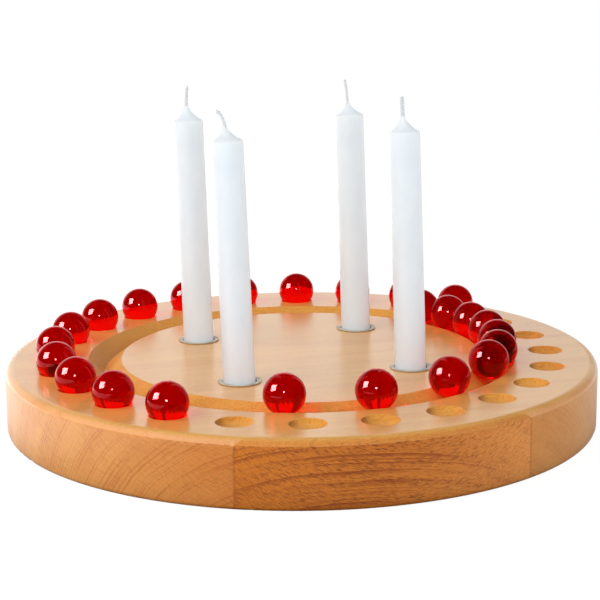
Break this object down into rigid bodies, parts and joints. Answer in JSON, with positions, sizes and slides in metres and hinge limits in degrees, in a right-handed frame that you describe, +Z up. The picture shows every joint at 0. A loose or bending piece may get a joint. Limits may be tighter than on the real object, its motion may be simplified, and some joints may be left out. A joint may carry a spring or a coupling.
{
  "type": "advent candle holder",
  "caption": "Round beech disc with candles in metal cups on a centre platform, a groove for rolling glass marbles and a ring of dimples to count the days with them.",
  "frame": {"origin": "centre of the disc's flat underside", "axes": "+Z up along the disc's axis, X along the wood grain and glue lines, -Y to the front"},
  "size_m": [0.24, 0.24, 0.1336],
  "materials": {
    "beech": "satin oiled",
    "cup_metal": "bright",
    "wax": "satin wax",
    "cotton": "matt braid",
    "red_glass": "polished"
  },
  "bodies": {
    "base": {"base_stave_front": "beech", "base_stave_middle": "beech", "base_stave_back": "beech", "candle_cup_1": "cup_metal", "candle_cup_2": "cup_metal", "candle_cup_3": "cup_metal", "candle_cup_4": "cup_metal"},
    "candle_1": {"candle_1": "wax", "wick_1": "cotton"},
    "candle_2": {"candle_2": "wax", "wick_2": "cotton"},
    "candle_3": {"candle_3": "wax", "wick_3": "cotton"},
    "candle_4": {"candle_4": "wax", "wick_4": "cotton"},
    "dimple_marble_01": {"dimple_marble_01": "red_glass"},
    "dimple_marble_02": {"dimple_marble_02": "red_glass"},
    "dimple_marble_03": {"dimple_marble_03": "red_glass"},
    "dimple_marble_04": {"dimple_marble_04": "red_glass"},
    "dimple_marble_05": {"dimple_marble_05": "red_glass"},
    "dimple_marble_06": {"dimple_marble_06": "red_glass"},
    "dimple_marble_07": {"dimple_marble_07": "red_glass"},
    "dimple_marble_08": {"dimple_marble_08": "red_glass"},
    "dimple_marble_09": {"dimple_marble_09": "red_glass"},
    "dimple_marble_10": {"dimple_marble_10": "red_glass"},
    "dimple_marble_11": {"dimple_marble_11": "red_glass"},
    "dimple_marble_12": {"dimple_marble_12": "red_glass"},
    "dimple_marble_13": {"dimple_marble_13": "red_glass"},
    "dimple_marble_14": {"dimple_marble_14": "red_glass"},
    "groove_marble_01": {"groove_marble_01": "red_glass"},
    "groove_marble_02": {"groove_marble_02": "red_glass"},
    "groove_marble_03": {"groove_marble_03": "red_glass"},
    "groove_marble_04": {"groove_marble_04": "red_glass"},
    "groove_marble_05": {"groove_marble_05": "red_glass"},
    "groove_marble_06": {"groove_marble_06": "red_glass"},
    "groove_marble_07": {"groove_marble_07": "red_glass"},
    "groove_marble_08": {"groove_marble_08": "red_glass"},
    "groove_marble_09": {"groove_marble_09": "red_glass"},
    "groove_marble_10": {"groove_marble_10": "red_glass"}
  },
  "joints": [
    {"name": "candle_1_lift", "type": "slide", "parent": "base", "child": "candle_1", "axis": [-0.0315, 0.0092, 0.9995], "range_m": [0, 0.04]},
    {"name": "candle_2_lift", "type": "slide", "parent": "base", "child": "candle_2", "axis": [-0.029, 0.0084, 0.9995], "range_m": [0, 0.04]},
    {"name": "candle_3_lift", "type": "slide", "parent": "base", "child": "candle_3", "axis": [-0.0277, 0.008, 0.9996], "range_m": [0, 0.04]},
    {"name": "candle_4_lift", "type": "slide", "parent": "base", "child": "candle_4", "axis": [-0.0243, 0.0071, 0.9997], "range_m": [0, 0.04]},
    {"name": "dimple_marble_01_lift", "type": "slide", "parent": "base", "child": "dimple_marble_01", "axis": [0, 0, 1], "range_m": [0, 0.03]},
    {"name": "dimple_marble_02_lift", "type": "slide", "parent": "base", "child": "dimple_marble_02", "axis": [0, 0, 1], "range_m": [0, 0.03]},
    {"name": "dimple_marble_03_lift", "type": "slide", "parent": "base", "child": "dimple_marble_03", "axis": [0, 0, 1], "range_m": [0, 0.03]},
    {"name": "dimple_marble_04_lift", "type": "slide", "parent": "base", "child": "dimple_marble_04", "axis": [0, 0, 1], "range_m": [0, 0.03]},
    {"name": "dimple_marble_05_lift", "type": "slide", "parent": "base", "child": "dimple_marble_05", "axis": [0, 0, 1], "range_m": [0, 0.03]},
    {"name": "dimple_marble_06_lift", "type": "slide", "parent": "base", "child": "dimple_marble_06", "axis": [0, 0, 1], "range_m": [0, 0.03]},
    {"name": "dimple_marble_07_lift", "type": "slide", "parent": "base", "child": "dimple_marble_07", "axis": [0, 0, 1], "range_m": [0, 0.03]},
    {"name": "dimple_marble_08_lift", "type": "slide", "parent": "base", "child": "dimple_marble_08", "axis": [0, 0, 1], "range_m": [0, 0.03]},
    {"name": "dimple_marble_09_lift", "type": "slide", "parent": "base", "child": "dimple_marble_09", "axis": [0, 0, 1], "range_m": [0, 0.03]},
    {"name": "dimple_marble_10_lift", "type": "slide", "parent": "base", "child": "dimple_marble_10", "axis": [0, 0, 1], "range_m": [0, 0.03]},
    {"name": "dimple_marble_11_lift", "type": "slide", "parent": "base", "child": "dimple_marble_11", "axis": [0, 0, 1], "range_m": [0, 0.03]},
    {"name": "dimple_marble_12_lift", "type": "slide", "parent": "base", "child": "dimple_marble_12", "axis": [0, 0, 1], "range_m": [0, 0.03]},
    {"name": "dimple_marble_13_lift", "type": "slide", "parent": "base", "child": "dimple_marble_13", "axis": [0, 0, 1], "range_m": [0, 0.03]},
    {"name": "dimple_marble_14_lift", "type": "slide", "parent": "base", "child": "dimple_marble_14", "axis": [0, 0, 1], "range_m": [0, 0.03]},
    {"name": "groove_marble_01_roll", "type": "hinge", "parent": "base", "child": "groove_marble_01", "pos_m": [0, 0, 0.026], "axis": [0, 0, 1], "range_deg": [-100, 6.4]},
    {"name": "groove_marble_02_roll", "type": "hinge", "parent": "base", "child": "groove_marble_02", "pos_m": [0, 0, 0.026], "axis": [0, 0, 1], "range_deg": [-6.4, 6.1]},
    {"name": "groove_marble_03_roll", "type": "hinge", "parent": "base", "child": "groove_marble_03", "pos_m": [0, 0, 0.026], "axis": [0, 0, 1], "range_deg": [-6.1, 5]},
    {"name": "groove_marble_04_roll", "type": "hinge", "parent": "base", "child": "groove_marble_04", "pos_m": [0, 0, 0.026], "axis": [0, 0, 1], "range_deg": [-5, 100]},
    {"name": "groove_marble_05_roll", "type": "hinge", "parent": "base", "child": "groove_marble_05", "pos_m": [0, 0, 0.026], "axis": [0, 0, 1], "range_deg": [-5, 100]},
    {"name": "groove_marble_06_roll", "type": "hinge", "parent": "base", "child": "groove_marble_06", "pos_m": [0, 0, 0.026], "axis": [0, 0, 1], "range_deg": [-5, 100]},
    {"name": "groove_marble_07_roll", "type": "hinge", "parent": "base", "child": "groove_marble_07", "pos_m": [0, 0, 0.026], "axis": [0, 0, 1], "range_deg": [-5, 100]},
    {"name": "groove_marble_08_roll", "type": "hinge", "parent": "base", "child": "groove_marble_08", "pos_m": [0, 0, 0.026], "axis": [0, 0, 1], "range_deg": [-5, 100]},
    {"name": "groove_marble_09_roll", "type": "hinge", "parent": "base", "child": "groove_marble_09", "pos_m": [0, 0, 0.026], "axis": [0, 0, 1], "range_deg": [-5, 100]},
    {"name": "groove_marble_10_roll", "type": "hinge", "parent": "base", "child": "groove_marble_10", "pos_m": [0, 0, 0.026], "axis": [0, 0, 1], "range_deg": [-5, 100]}
  ],
  "couplings": [
    {"joint": "groove_marble_05_roll", "follows": "groove_marble_04_roll", "ratio": 1},
    {"joint": "groove_marble_06_roll", "follows": "groove_marble_04_roll", "ratio": 1},
    {"joint": "groove_marble_07_roll", "follows": "groove_marble_04_roll", "ratio": 1},
    {"joint": "groove_marble_08_roll", "follows": "groove_marble_04_roll", "ratio": 1},
    {"joint": "groove_marble_09_roll", "follows": "groove_marble_04_roll", "ratio": 1},
    {"joint": "groove_marble_10_roll", "follows": "groove_marble_04_roll", "ratio": 1}
  ]
}
